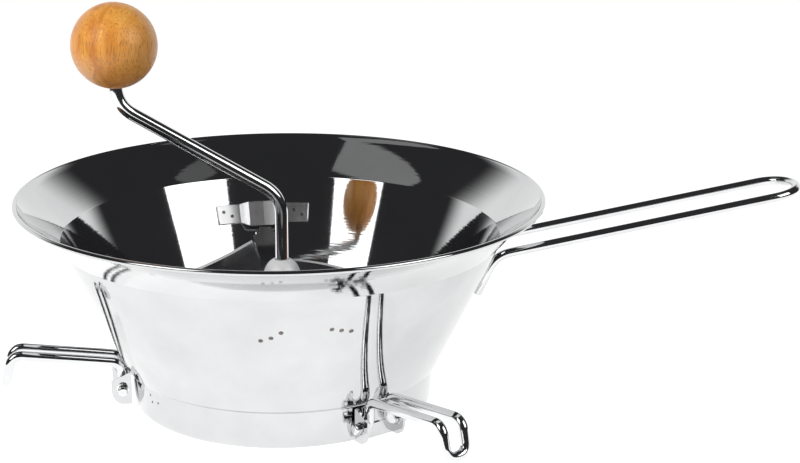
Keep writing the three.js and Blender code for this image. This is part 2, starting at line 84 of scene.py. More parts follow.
class Nodes:
    """A small builder for one material's node tree."""

    def __init__(self, name):
        self.material = bpy.data.materials.new(name)
        self.material.use_nodes = True
        self.tree = self.material.node_tree
        self.shader = self.tree.nodes["Principled BSDF"]
        self.coordinates = self.add("ShaderNodeTexCoord").outputs["Object"]

    def add(self, kind, **settings):
        node = self.tree.nodes.new(kind)
        for key, value in settings.items():
            setattr(node, key, value)
        return node

    def link(self, source, target):
        self.tree.links.new(source, target)
        return target

    def mapped(self, scale, location=(0, 0, 0), rotation=(0, 0, 0)):
        node = self.add("ShaderNodeMapping")
        node.inputs["Scale"].default_value = scale
        node.inputs["Location"].default_value = location
        node.inputs["Rotation"].default_value = rotation
        self.link(self.coordinates, node.inputs["Vector"])
        return node.outputs["Vector"]

    def noise(self, vector, scale, detail=3.0, roughness=0.5, distortion=0.0):
        node = self.add("ShaderNodeTexNoise")
        node.inputs["Scale"].default_value = scale
        node.inputs["Detail"].default_value = detail
        node.inputs["Roughness"].default_value = roughness
        node.inputs["Distortion"].default_value = distortion
        self.link(vector, node.inputs["Vector"])
        return node.outputs["Fac"]

    def ramp(self, value, stops):
        node = self.add("ShaderNodeValToRGB")
        elements = node.color_ramp.elements
        while len(elements) < len(stops):
            elements.new(0.5)
        for element, (position, colour) in zip(elements, stops):
            element.position = position
            element.color = (*colour, 1) if len(colour) == 3 else colour
        self.link(value, node.inputs["Fac"])
        return node.outputs["Color"]

    def spread(self, value, low, high):
        node = self.add("ShaderNodeMapRange")
        node.inputs["To Min"].default_value = low
        node.inputs["To Max"].default_value = high
        self.link(value, node.inputs["Value"])
        return node.outputs["Result"]

    def maths(self, operation, *values):
        node = self.add("ShaderNodeMath", operation=operation)
        for socket, value in zip(node.inputs, values):
            if isinstance(value, (int, float)):
                socket.default_value = value
            else:
                self.link(value, socket)
        return node.outputs[0]

    def mix(self, factor, a, b, blend="MIX"):
        node = self.add("ShaderNodeMix", data_type="RGBA", blend_type=blend)
        for key, value in (("Factor_Float", factor), ("A_Color", a), ("B_Color", b)):
            socket = next(s for s in node.inputs if s.identifier == key)
            if isinstance(value, (int, float)):
                socket.default_value = value
            elif isinstance(value, tuple):
                socket.default_value = (*value, 1)
            else:
                self.link(value, socket)
        return next(s for s in node.outputs if s.identifier == "Result_Color")

    def bump(self, height, strength, distance, normal=None):
        node = self.add("ShaderNodeBump")
        node.inputs["Strength"].default_value = strength
        node.inputs["Distance"].default_value = distance
        self.link(height, node.inputs["Height"])
        if normal is not None:
            self.link(normal, node.inputs["Normal"])
        return node.outputs["Normal"]


def turned_coordinates(m):
    """Distance from the bowl's axis and height, as a vector: what a lathe's marks follow."""
    moved = m.mapped((1, 1, 1), location=tuple(-AXIS))
    apart = m.add("ShaderNodeSeparateXYZ")
    m.link(moved, apart.inputs[0])
    x, y, z = apart.outputs
    radius = m.maths("SQRT", m.maths("ADD", m.maths("MULTIPLY", x, x), m.maths("MULTIPLY", y, y)))
    joined = m.add("ShaderNodeCombineXYZ")
    m.link(radius, joined.inputs[0])
    m.link(z, joined.inputs[2])
    return joined.outputs[0], moved


def polished_sheet(name, colour=(0.635, 0.64, 0.645), gloss=0.035, lines=True, metal=1.0):
    """Stainless sheet with a soft waviness, hairline scratches and, with lines, faint marks of spinning.

    A low gloss value is a mirror; a metal value below one gives the pale look of a scuffed surface.
    """
    m = Nodes(name)
    lathe_vector, centred = turned_coordinates(m)
    haze = m.noise(centred, 38, detail=4)
    tint = m.ramp(haze, [(0.3, tuple(c * 0.9 for c in colour)), (0.7, colour)])
    m.link(tint, m.shader.inputs["Base Color"])
    m.shader.inputs["Metallic"].default_value = metal
    scratch = m.noise(m.mapped((900, 900, 60), rotation=(0.4, 0.9, 0.3)), 1.0, detail=2)
    fine = m.maths("ADD", m.spread(haze, gloss * 0.7, gloss * 1.5), m.spread(scratch, 0, gloss * 0.5))
    m.link(fine, m.shader.inputs["Roughness"])
    wave = m.noise(centred, 14, detail=1.5)
    normal = m.bump(wave, 0.05, 0.004)
    if lines:
        spun = m.noise(lathe_vector, 900, detail=2)
        normal = m.bump(spun, 0.035, 0.0004, normal)
    normal = m.bump(scratch, 0.012, 0.0002, normal)
    m.link(normal, m.shader.inputs["Normal"])
    return m.material


def polished_wire(name):
    """Bright drawn rod: near mirror, with faint drawing marks and slight patches in the polish."""
    m = Nodes(name)
    patch = m.noise(m.mapped((1, 1, 1)), 70, detail=4)
    tint = m.ramp(patch, [(0.3, (0.68, 0.685, 0.69)), (0.7, (0.76, 0.765, 0.77))])
    m.link(tint, m.shader.inputs["Base Color"])
    m.shader.inputs["Metallic"].default_value = 1
    m.link(m.spread(patch, 0.035, 0.1), m.shader.inputs["Roughness"])
    marks = m.noise(m.mapped((260, 1600, 1600)), 1.0, detail=2)
    m.link(m.bump(marks, 0.03, 0.0002), m.shader.inputs["Normal"])
    return m.material


def satin_steel(name, colour=(0.62, 0.625, 0.63), rough=0.28):
    """Satin stainless: turned or brushed marks round the shaft's axis, and a soft grey tint."""
    m = Nodes(name)
    lathe_vector, centred = turned_coordinates(m)
    brushed = m.noise(lathe_vector, 1500, detail=4, roughness=0.7)
    patch = m.noise(centred, 60, detail=3)
    tint = m.mix(0.35, m.ramp(patch, [(0.3, tuple(c * 0.86 for c in colour)), (0.75, colour)]),
                 m.ramp(brushed, [(0.35, tuple(c * 0.8 for c in colour)), (0.65, colour)]))
    m.link(tint, m.shader.inputs["Base Color"])
    m.shader.inputs["Metallic"].default_value = 1
    m.link(m.spread(brushed, rough * 0.7, rough * 1.4), m.shader.inputs["Roughness"])
    m.link(m.bump(brushed, 0.12, 0.0002), m.shader.inputs["Normal"])
    return m.material


def weld_steel(name):
    """Heat-marked steel of a spot weld: darker, straw-tinted and rough."""
    m = Nodes(name)
    patch = m.noise(m.mapped((1, 1, 1)), 900, detail=4)
    tint = m.ramp(patch, [(0.3, (0.07, 0.067, 0.063)), (0.7, (0.28, 0.26, 0.235))])
    m.link(tint, m.shader.inputs["Base Color"])
    m.shader.inputs["Metallic"].default_value = 1
    m.link(m.spread(patch, 0.25, 0.5), m.shader.inputs["Roughness"])
    m.link(m.bump(patch, 0.4, 0.0003), m.shader.inputs["Normal"])
    return m.material


def varnished_beech(name, centre):
    """Honey-coloured beech under thin varnish: long soft rings and fine upright flecks."""
    m = Nodes(name)
    local = m.mapped((1, 1, 1), location=tuple(-centre))
    lean = m.add("ShaderNodeMapping")
    lean.inputs["Rotation"].default_value = (math.radians(4), math.radians(-7), math.radians(20))
    m.link(local, lean.inputs["Vector"])
    along = m.add("ShaderNodeMapping")
    along.inputs["Scale"].default_value = (1, 0.55, 0.16)
    m.link(lean.outputs[0], along.inputs["Vector"])
    rings = m.noise(along.outputs[0], 190, detail=3, roughness=0.55, distortion=0.6)
    base = m.ramp(rings, [(0.28, (0.62, 0.21, 0.03)), (0.45, (0.82, 0.34, 0.055)),
                          (0.62, (0.93, 0.44, 0.085)), (0.8, (0.98, 0.54, 0.13))])
    dash = m.add("ShaderNodeMapping")
    dash.inputs["Scale"].default_value = (1, 1, 0.08)
    m.link(lean.outputs[0], dash.inputs["Vector"])
    flecks = m.noise(dash.outputs[0], 1900, detail=2, roughness=0.6)
    fleck = m.ramp(flecks, [(0.53, (0, 0, 0)), (0.64, (1, 1, 1))])
    marked = m.mix(m.maths("MULTIPLY", fleck, 0.7), base, (0.40, 0.14, 0.03))
    broad = m.noise(lean.outputs[0], 45, detail=2)
    toned = m.mix(m.spread(broad, 0, 0.22), marked, (0.84, 0.50, 0.20), "MULTIPLY")
    m.link(toned, m.shader.inputs["Base Color"])
    m.link(m.spread(flecks, 0.36, 0.5), m.shader.inputs["Roughness"])
    m.shader.inputs["Coat Weight"].default_value = 0.5
    m.shader.inputs["Coat Roughness"].default_value = 0.42
    grain = m.maths("ADD", m.maths("MULTIPLY", flecks, -1), m.maths("MULTIPLY", rings, 0.5))
    m.link(m.bump(grain, 0.25, 0.0003), m.shader.inputs["Normal"])
    return m.material


def plain_brass(name):
    """Turned brass tube with faint lathe marks and dull patches."""
    m = Nodes(name)
    patch = m.noise(m.mapped((1, 1, 1)), 240, detail=4)
    tint = m.ramp(patch, [(0.3, (0.45, 0.30, 0.10)), (0.7, (0.66, 0.48, 0.19))])
    m.link(tint, m.shader.inputs["Base Color"])
    m.shader.inputs["Metallic"].default_value = 1
    m.link(m.spread(patch, 0.2, 0.4), m.shader.inputs["Roughness"])
    m.link(m.bump(m.noise(m.mapped((1, 1, 2400)), 1.0), 0.1, 0.0002), m.shader.inputs["Normal"])
    return m.material


# ---- Mesh helpers ------------------------------------------------------------------------------------


def make_piece(name, points, faces, material, body, nodes=(), sharp=35):
    mesh = bpy.data.meshes.new(name)
    mesh.from_pydata([tuple(p) for p in points], [], faces)
    mesh.validate()
    mesh.update()
    mesh.polygons.foreach_set("use_smooth", [True] * len(mesh.polygons))
    mesh.set_sharp_from_angle(angle=math.radians(sharp))
    piece = bpy.data.objects.new(name, mesh)
    bpy.context.collection.objects.link(piece)
    mesh.materials.append(material)
    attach(piece, body)
    if nodes:
        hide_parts(*nodes)
    return piece


def bevel(piece, width, segments=2, angle=40):
    modifier = piece.modifiers.new("edges", "BEVEL")
    modifier.width = width * MM
    modifier.segments = segments
    modifier.limit_method = "ANGLE"
    modifier.angle_limit = math.radians(angle)
    modifier.harden_normals = False
    return modifier


def polar(radius, azimuth, height, centre=AXIS):
    """A point from millimetres and degrees round the bowl's axis."""
    angle = math.radians(azimuth)
    return centre + Vector((radius * math.cos(angle), radius * math.sin(angle), height)) * MM


def local(x, y, z):
    return AXIS + Vector((x, y, z)) * MM


def arc(centre, radius, start, end, steps):
    points = []
    for i in range(steps + 1):
        angle = math.radians(start + (end - start) * i / steps)
        points.append((centre[0] + radius * math.cos(angle), centre[1] + radius * math.sin(angle)))
    return points


def eased(profile, radius, steps=4, loop=True):
    """The profile with each of its corners rounded off."""
    count = len(profile)
    result = []
    for i, here in enumerate(profile):
        if not loop and i in (0, count - 1):
            result.append(here)
            continue
        corner = Vector(here)
        before = Vector(profile[i - 1]) - corner
        after = Vector(profile[(i + 1) % count]) - corner
        turn = math.pi - before.angle(after)
        cut = min(radius * math.tan(turn / 2), before.length * 0.48, after.length * 0.48)
        if turn < math.radians(4) or cut < 1e-4:
            result.append(here)
            continue
        a = corner + before.normalized() * cut
        b = corner + after.normalized() * cut
        for k in range(steps + 1):
            t = k / steps
            p = a * (1 - t) ** 2 + corner * 2 * t * (1 - t) + b * t ** 2
            result.append((p.x, p.y))
    return result


def lathe(profile, segments, centre=AXIS):
    """Points and faces of a closed profile, in millimetres, turned about the vertical through a centre."""
    points, rows, faces = [], [], []
    for radius, height in profile:
        if radius < 1e-6:
            rows.append([len(points)] * segments)
            points.append(centre + Vector((0, 0, height * MM)))
            continue
        row = []
        for s in range(segments):
            row.append(len(points))
            points.append(polar(radius, 360 * s / segments, height, centre))
        rows.append(row)
    for i, row in enumerate(rows):
        above = rows[(i + 1) % len(rows)]
        if row[0] == row[1] and above[0] == above[1]:
            continue
        for s in range(segments):
            t = (s + 1) % segments
            corners = []
            for index in (row[s], row[t], above[t], above[s]):
                if index not in corners:
                    corners.append(index)
            faces.append(corners)
    return points, faces


def bent_path(corners, bend, steps=10):
    """Straight runs between points, joined by smooth bends."""
    path = [corners[0]]
    for before, corner, after in zip(corners, corners[1:], corners[2:]):
        back, on = before - corner, after - corner
        cut = min(bend * MM, back.length * 0.48, on.length * 0.48)
        a, b = corner + back.normalized() * cut, corner + on.normalized() * cut
        for k in range(steps + 1):
            t = k / steps
            path.append(a * (1 - t) ** 2 + corner * 2 * t * (1 - t) + b * t ** 2)
    path.append(corners[-1])
    return path


def respaced(path, spacing):
    """The path with long straight runs cut into shorter ones."""
    result = [path[0]]
    for a, b in zip(path, path[1:]):
        count = max(1, int((b - a).length / (spacing * MM)))
        result += [a.lerp(b, (k + 1) / count) for k in range(count)]
    return result


def tube(path, radius, sides=20, dome=0.5):
    """A round wire along a path, with softly domed ends."""
    points, faces, rings = [], [], []
    tangents = []
    for i in range(len(path)):
        ahead = path[min(i + 1, len(path) - 1)] - path[max(i - 1, 0)]
        tangents.append(ahead.normalized())
    side = tangents[0].orthogonal().normalized()
    stations = []
    for point, tangent in zip(path, tangents):
        side = (side - tangent * side.dot(tangent)).normalized()
        stations.append((point, tangent, side))
    first, last = stations[0], stations[-1]
    ends = []
    for angle in (75, 50, 25):
        a = math.radians(angle)
        ends.append((radius * math.cos(a), radius * dome * math.sin(a)))
    sections = [(first[0] - first[1] * up * MM, first[1], first[2], r) for r, up in ends]
    sections += [(p, t, s, radius) for p, t, s in stations]
    sections += [(last[0] + last[1] * up * MM, last[1], last[2], r) for r, up in reversed(ends)]
    for point, tangent, across, r in sections:
        other = tangent.cross(across)
        ring = []
        for k in range(sides):
            a = 2 * math.pi * k / sides
            ring.append(len(points))
            points.append(point + (across * math.cos(a) + other * math.sin(a)) * r * MM)
        rings.append(ring)
    for low, high in zip(rings, rings[1:]):
        for k in range(sides):
            n = (k + 1) % sides
            faces.append((low[k], low[n], high[n], high[k]))
    faces.append(tuple(reversed(rings[0])))
    faces.append(tuple(rings[-1]))
    return points, faces


def sheet(upper, lower):
    """Points and faces of a thin solid between two grids of points."""
    rows, columns = len(upper), len(upper[0])
    points = [p for grid in (upper, lower) for row in grid for p in row]
    top = lambda i, j: i * columns + j
    under = lambda i, j: (rows + i) * columns + j
    faces = []
    for i in range(rows - 1):
        for j in range(columns - 1):
            faces.append((top(i, j), top(i, j + 1), top(i + 1, j + 1), top(i + 1, j)))
            faces.append((under(i, j), under(i + 1, j), under(i + 1, j + 1), under(i, j + 1)))
        faces.append((top(i, 0), top(i + 1, 0), under(i + 1, 0), under(i, 0)))
        end = columns - 1
        faces.append((top(i, end), under(i, end), under(i + 1, end), top(i + 1, end)))
    for j in range(columns - 1):
        faces.append((top(0, j), under(0, j), under(0, j + 1), top(0, j + 1)))
        end = rows - 1
        faces.append((top(end, j), top(end, j + 1), under(end, j + 1), under(end, j)))
    return points, faces


# ---- Materials ---------------------------------------------------------------------------------------

KNOB_HEIGHT = 165.6
ARM_RADIUS = 72.4
knob_centre = local(-ARM_RADIUS, 0, KNOB_HEIGHT)

BOWL_STEEL = polished_sheet("polished_bowl")
SHEET_STEEL = polished_sheet("polished_pressing", gloss=0.07, lines=False)
EDGE_STEEL = polished_sheet("ground_edge", (0.93, 0.935, 0.94), gloss=0.42, lines=False, metal=0.15)
DOME_STEEL = polished_sheet("satin_dome", (0.9, 0.905, 0.91), gloss=0.36, lines=False, metal=0.3)
BLADE_STEEL = polished_sheet("blade_sheet", (0.84, 0.845, 0.85), gloss=0.16, lines=False)
CATCH_STEEL = polished_sheet("satin_pressing", (0.88, 0.885, 0.89), gloss=0.25, lines=False)
WIRE_STEEL = polished_wire("polished_wire")
SATIN = satin_steel("satin_steel")
SPRING_STEEL = satin_steel("spring_steel", (0.55, 0.55, 0.56), 0.22)
WELD = weld_steel("spot_weld")
BEECH = varnished_beech("varnished_beech", knob_centre)
BRASS = plain_brass("brass_tube")

# ---- Bowl --------------------------------------------------------------------------------------------

SHEET_GAUGE = 1
FLARE, FLARE_INSIDE = (100.6, 78.2), (99.6, 78.7)
STEP, STEP_INSIDE = (72.3, 18.7), (71.3, 19.2)
COLLAR, COLLAR_INSIDE = (70, 17.2), (69, 17.7)
BASE, CURL_OUTSIDE, CURL_INSIDE = (66.6, 2.4), 2.4, 1.4
SEAT_RADIUS = 59
LIP_UNDER, LIP_OVER = (115, 93.2), (115, 94.4)
RIM, RIM_BEAD = (118.9, 95.8), 1.1
PROFILE_EASE = 1.4
BOWL_SIDES = 240
CONE_SLOPE = (FLARE[0] - STEP[0]) / (FLARE[1] - STEP[1])
CONE_ANGLE = math.atan(CONE_SLOPE)
COLLAR_LOW = BASE[0] + CURL_OUTSIDE
COLLAR_SLOPE = (COLLAR[0] - COLLAR_LOW) / (COLLAR[1] - BASE[1])
FIT = 0.3


def cone_radius(height):
    return STEP[0] + (height - STEP[1]) * CONE_SLOPE


def inner_radius(height):
    return cone_radius(height) - SHEET_GAUGE / math.cos(CONE_ANGLE)


def build_bowl():
    outside = [(SEAT_RADIUS, 0.0), *arc(BASE, CURL_OUTSIDE, -90, 0, 6), COLLAR, STEP, FLARE, LIP_UNDER]
    bead = arc(RIM, RIM_BEAD, -100, 170, 12)
    inside = [LIP_OVER, FLARE_INSIDE, STEP_INSIDE, COLLAR_INSIDE,
              *arc(BASE, CURL_INSIDE, 0, -90, 5), (SEAT_RADIUS, SHEET_GAUGE)]
    profile = eased(outside, PROFILE_EASE, loop=False) + bead + eased(inside, PROFILE_EASE, loop=False)
    points, faces = lathe(profile, BOWL_SIDES)
    return make_piece("spun_bowl", points, faces, BOWL_STEEL, "body", ["bowl"], sharp=50)


build_bowl()

# ---- Sieve disc --------------------------------------------------------------------------------------


def build_disc():
    """A dished plate with rings of small punched holes inside a flat seat with a short upturned lip."""
    ring_radius, low, gauge, step, crown, eye = 60, 1.4, 1.0, 1.2, 1.6, 3.3
    lip_start, lip_middle, lip_end = 66.3, 66.8, 67.3
    rows, first_row, row_pitch = 11, 9, 4.5
    hole_radius, hole_pitch, sides = 1.35, 4.9, 10
    flat, edges = [], []

    def circle(cx, cy, radius, count, turn=0.0):
        start = len(flat)
        for k in range(count):
            a = 2 * math.pi * (k + turn) / count
            flat.append(Vector((cx + radius * math.cos(a), cy + radius * math.sin(a))))
        edges.extend((start + k, start + (k + 1) % count) for k in range(count))

    circle(0, 0, eye, 24)
    for radius in (ring_radius - 3, ring_radius - 0.3, lip_start, lip_end):
        circle(0, 0, radius, 120)
    holes = []
    for row in range(rows):
        radius = first_row + row_pitch * row
        count = int(2 * math.pi * radius / hole_pitch)
        for k in range(count):
            a = 2 * math.pi * (k + 0.5 * (row % 2)) / count
            holes.append((radius * math.cos(a), radius * math.sin(a)))
            circle(*holes[-1], hole_radius, sides, 0.5)
    for radius in (15.7, 24.7, 33.7, 42.7, 51.7):
        for k in range(72):
            a = 2 * math.pi * k / 72
            p = Vector((radius * math.cos(a), radius * math.sin(a)))
            if all((p - Vector(h)).length > 1.7 for h in holes):
                flat.append(p)
    found = geometry.delaunay_2d_cdt(flat, edges, [], 0, 1e-5)
    plan, triangles = found[0], found[2]

    def kept(face):
        c = sum((plan[i] for i in face), Vector((0, 0))) / len(face)
        if c.length < eye * 0.98 or c.length > 67.4:
            return False
        near = min(holes, key=lambda h: (h[0] - c.x) ** 2 + (h[1] - c.y) ** 2)
        return math.hypot(near[0] - c.x, near[1] - c.y) > 1.25

    def height(radius):
        if radius > lip_middle:
            return 1.2
        if radius > ring_radius - 1:
            return 0.0
        inward = (ring_radius - 3 - min(radius, ring_radius - 3)) / (ring_radius - 3 - eye)
        return step + crown * inward

    faces = [tuple(f) for f in triangles if kept(f)]
    count = len(plan)
    points = []
    for level in (low + gauge, low):
        for p in plan:
            lift = height(p.length)
            if level == low and p.length > lip_middle:
                lift = 0
            points.append(local(p.x, p.y, level + lift))
    used = {}
    for face in faces:
        for a, b in zip(face, face[1:] + face[:1]):
            used[(a, b)] = True
    walls = [(a, b) for a, b in used if (b, a) not in used]
    whole = list(faces)
    whole += [tuple(count + i for i in reversed(face)) for face in faces]
    whole += [(b, a, count + a, count + b) for a, b in walls]
    return make_piece("punched_disc", points, whole, SATIN, "body", ["sieve_disc"], sharp=30)


build_disc()

# ---- Loop handle -------------------------------------------------------------------------------------

HANDLE_WIRE = 2.15
HANDLE_HALF = 13.8
HANDLE_REACH = 243
HANDLE_ROOT, HANDLE_LEAVES, HANDLE_TIP = 50, 67.6, 93.6
HANDLE_BEND = 7
HANDLE_WELDS = (51.5, 56, 60.5)
WELD_BEAD = (1.5, 0.7)
QUARTER_CIRCLE = 0.5523


def build_handle():
    stand = (HANDLE_WIRE + FIT) / math.cos(CONE_ANGLE)
    along = lambda height: math.sqrt((cone_radius(height) + stand) ** 2 - HANDLE_HALF ** 2)
    root, bend, reach = along(HANDLE_ROOT), along(HANDLE_LEAVES), HANDLE_REACH
    slope = (HANDLE_TIP - HANDLE_LEAVES) / (reach - bend)
    turn = reach - HANDLE_HALF
    rise = lambda x: HANDLE_LEAVES + (x - bend) * slope
    runs = {}
    for side in (-1, 1):
        corners = [local(root, side * HANDLE_HALF, HANDLE_ROOT),
                   local(bend, side * HANDLE_HALF, HANDLE_LEAVES),
                   local(turn, side * HANDLE_HALF, rise(turn))]
        runs[side] = bent_path(corners, HANDLE_BEND)
    tip = []
    quarter = HANDLE_HALF * QUARTER_CIRCLE
    start, middle, end = runs[-1][-1], local(reach, 0, rise(reach)), runs[1][-1]
    ahead = Vector((quarter, 0, quarter * slope)) * MM
    aside = Vector((0, quarter, 0)) * MM
    near_curve = (start, start + ahead, middle - aside, middle)
    far_curve = (middle, middle + aside, end + ahead, end)
    for a, b, c, d in (near_curve, far_curve):
        for k in range(1, 15):
            t = k / 14
            tip.append(a * (1 - t) ** 3 + b * 3 * t * (1 - t) ** 2 + c * 3 * t * t * (1 - t) + d * t ** 3)
    path = runs[-1] + tip + list(reversed(runs[1]))[1:]
    points, faces = tube(respaced(path, 8), HANDLE_WIRE, 24)
    make_piece("handle_wire", points, faces, WIRE_STEEL, "body", ["handle_loop"])
    beads_points, beads_faces = [], []
    for side in (-1, 1):
        for height in HANDLE_WELDS:
            radial = along(height)
            outward = Vector((radial, side * HANDLE_HALF, 0)).normalized()
            foot = local(radial, side * HANDLE_HALF, height) - outward * (HANDLE_WIRE + 0.1) * MM
            add_lens(beads_points, beads_faces, foot, outward, *WELD_BEAD)
            add_lens(beads_points, beads_faces, foot, -outward, *WELD_BEAD)
    make_piece("handle_welds", beads_points, beads_faces, WELD, "body")


def add_lens(points, faces, place, normal, radius, height, sides=14):
    """A low round button on a surface: a weld's mark."""
    across = normal.orthogonal().normalized()
    other = normal.cross(across)
    start = len(points)
    rings = ((1.0, 0.0), (0.86, 0.45), (0.6, 0.8), (0.3, 0.96))
    for share, lift in rings:
        for k in range(sides):
            a = 2 * math.pi * k / sides
            offset = (across * math.cos(a) + other * math.sin(a)) * radius * share + normal * height * lift
            points.append(place + offset * MM)
    points.append(place + normal * height * MM)
    for r in range(len(rings) - 1):
        for k in range(sides):
            n = (k + 1) % sides
            a, b = start + r * sides, start + (r + 1) * sides
            faces.append((a + k, a + n, b + n, b + k))
    last = start + (len(rings) - 1) * sides
    for k in range(sides):
        faces.append((last + k, last + (k + 1) % sides, len(points) - 1))
    faces.append(tuple(start + k for k in reversed(range(sides))))


build_handle()

# ---- Crossbar catches --------------------------------------------------------------------------------

BAR_AZIMUTH = 92
CATCH_LOW, CATCH_HIGH, CATCH_GAUGE = 58, 66.4, 1.0
CATCH_HALF_PLAN = [(5.2, 5.6), (7.2, 0), (10.9, 0), (14.6, 0)]
CATCH_PLAN = [(-x, y) for x, y in reversed(CATCH_HALF_PLAN)] + [(0, 6.2)] + CATCH_HALF_PLAN
INNER_WELDS = [(-12.6, 61.2), (-10.0, 63.4), (10.0, 61.4), (12.6, 63.6)]
OUTER_WELDS = [(-11.8, 57.9), (-9.1, 59.3), (-6.5, 62), (6.5, 62.5), (9.1, 61.5), (11.8, 60.6)]
COLLAR_WELDS = [(-152, 14), (-151, 11), (-147, 12)]


def build_catch(name, node, azimuth):
    plan = eased(CATCH_PLAN, 0.8, steps=2, loop=False)
    levels = 5

    def grid(extra):
        rows = []
        for offset, stand in plan:
            stand += extra
            lift = stand * math.sin(CONE_ANGLE)
            base, row = CATCH_LOW - lift, []
            for k in range(levels):
                height = base + (CATCH_HIGH - base) * k / (levels - 1)
                radius = inner_radius(height) - FIT - stand * math.cos(CONE_ANGLE)
                row.append(polar(radius, azimuth + offset, height + lift))
            rows.append(row)
        return rows

    points, faces = sheet(grid(CATCH_GAUGE), grid(0))
    piece = make_piece(name, points, faces, CATCH_STEEL, "body", [node], sharp=30)
    bevel(piece, 0.3)


build_catch("bar_catch_front", "catch_front", BAR_AZIMUTH - 180)
build_catch("bar_catch_back", "catch_back", BAR_AZIMUTH)


def build_spot_welds():
    """Round marks where the catches and the foot brackets are welded on, inside and outside."""
    points, faces = [], []
    inward_lift = math.sin(CONE_ANGLE)
    for middle in (BAR_AZIMUTH, BAR_AZIMUTH - 180):
        for offset, height in INNER_WELDS:
            angle = math.radians(middle + offset)
            out = Vector((math.cos(angle), math.sin(angle), 0))
            inward = -out * math.cos(CONE_ANGLE) + Vector((0, 0, inward_lift))
            stand = FIT + CATCH_GAUGE - 0.02
            radius = inner_radius(height) - stand / math.cos(CONE_ANGLE)
            add_lens(points, faces, polar(radius, middle + offset, height), inward, 0.9, 0.24)
        for offset, height in OUTER_WELDS:
            angle = math.radians(middle + offset)
            out = Vector((math.cos(angle), math.sin(angle), 0))
            outward = out * math.cos(CONE_ANGLE) - Vector((0, 0, inward_lift))
            place = polar(cone_radius(height), middle + offset, height)
            add_lens(points, faces, place, outward, 1.05, 0.16)
    for azimuth, height in COLLAR_WELDS:
        outward = polar(1000, azimuth, 0) - AXIS
        place = polar(COLLAR_LOW + (height - BASE[1]) * COLLAR_SLOPE, azimuth, height)
        add_lens(points, faces, place, outward, 0.6, 0.12)
    make_piece("spot_welds", points, faces, WELD, "body")


build_spot_welds()

# ---- Crank -------------------------------------------------------------------------------------------

ROD = 3.0
RUNNING_BORE = ROD + FIT
ROD_BEND = 9
ROD_END = 0.8
CRANK_TIP, ELBOW_HEIGHT, ARM_END_HEIGHT, STEM_IN_KNOB = 1.4, 95.2, 138.9, 8
SLEEVE_RADIUS, SLEEVE_LOW, SLEEVE_HIGH = 6.2, 5.6, 38
PIN_RADIUS, PIN_HALF, PIN_HEIGHT = 1.2, 6.4, 33


def build_crank():
    corners = [local(0, 0, CRANK_TIP), local(0, 0, ELBOW_HEIGHT), local(-ARM_RADIUS, 0, ARM_END_HEIGHT),
               local(-ARM_RADIUS, 0, KNOB_HEIGHT + STEM_IN_KNOB)]
    path = respaced(bent_path(corners, ROD_BEND, 14), 6)
    path[0] += Vector((0, 0, ROD_END * MM))
    path[-1] -= Vector((0, 0, ROD_END * MM))
    points, faces = tube(path, ROD, 28, dome=0.25)
    make_piece("crank_bar", points, faces, WIRE_STEEL, "crank", ["crank_rod"])
    profile = eased([(RUNNING_BORE, SLEEVE_LOW), (SLEEVE_RADIUS, SLEEVE_LOW),
                     (SLEEVE_RADIUS, SLEEVE_HIGH), (RUNNING_BORE, SLEEVE_HIGH)], 0.5)
    points, faces = lathe(profile, 48)
    make_piece("auger_sleeve", points, faces, SATIN, "crank", ["blade_sleeve"], sharp=50)
    across = [local(0, y, PIN_HEIGHT) for y in (-PIN_HALF, 0, PIN_HALF)]
    points, faces = tube(across, PIN_RADIUS, 20, dome=0.25)
    make_piece("cross_pin", points, faces, SATIN, "crank", ["blade_pin"])


build_crank()

DISC_TOP, DISC_STEP, DISC_CROWN = 2.4, 1.2, 1.6
BLADE_GAUGE, SCRAPE_GAP = 0.9, 0.7
SCRAPE = DISC_TOP + DISC_STEP + DISC_CROWN + BLADE_GAUGE + SCRAPE_GAP
AUGER_RIBS = [
    (97, 79, 51.4, 37), (106, 75.5, 47.2, 36), (120, 71.5, 43.8, 34.5), (145, 68.5, 42.3, 31),
    (180, 67, 33.5, 25), (222, 66, 19, 17), (255, 65, SCRAPE + 3.5, SCRAPE + 4),
    (279, 64.4, SCRAPE, SCRAPE),
]
TAIL_RIBS = [(52, 64.5, 42, 31), (70, 65, 44.2, 33), (86, 65, 45.6, 35)]


def spline(points, t):
    """A centripetal curve through the points, as the frame's blade follows."""
    count = len(points) - 1
    place = t * count
    i = min(int(place), count - 1)
    share = place - i
    p1, p2 = points[i], points[i + 1]
    p0 = points[i - 1] if i > 0 else p1 * 2 - p2
    p3 = points[i + 2] if i + 2 <= count else p2 * 2 - p1
    gaps = [max(1e-4, (b - a).length) ** 0.5 for a, b in ((p0, p1), (p1, p2), (p2, p3))]
    d0, d1, d2 = gaps
    m1 = ((p1 - p0) / d0 - (p2 - p0) / (d0 + d1) + (p2 - p1) / d1) * d1
    m2 = ((p2 - p1) / d1 - (p3 - p1) / (d1 + d2) + (p3 - p2) / d2) * d1
    c = (p2 - p1) * 3 - m1 * 2 - m2
    d = (p1 - p2) * 2 + m1 + m2
    return p1 + m1 * share + c * share ** 2 + d * share ** 3


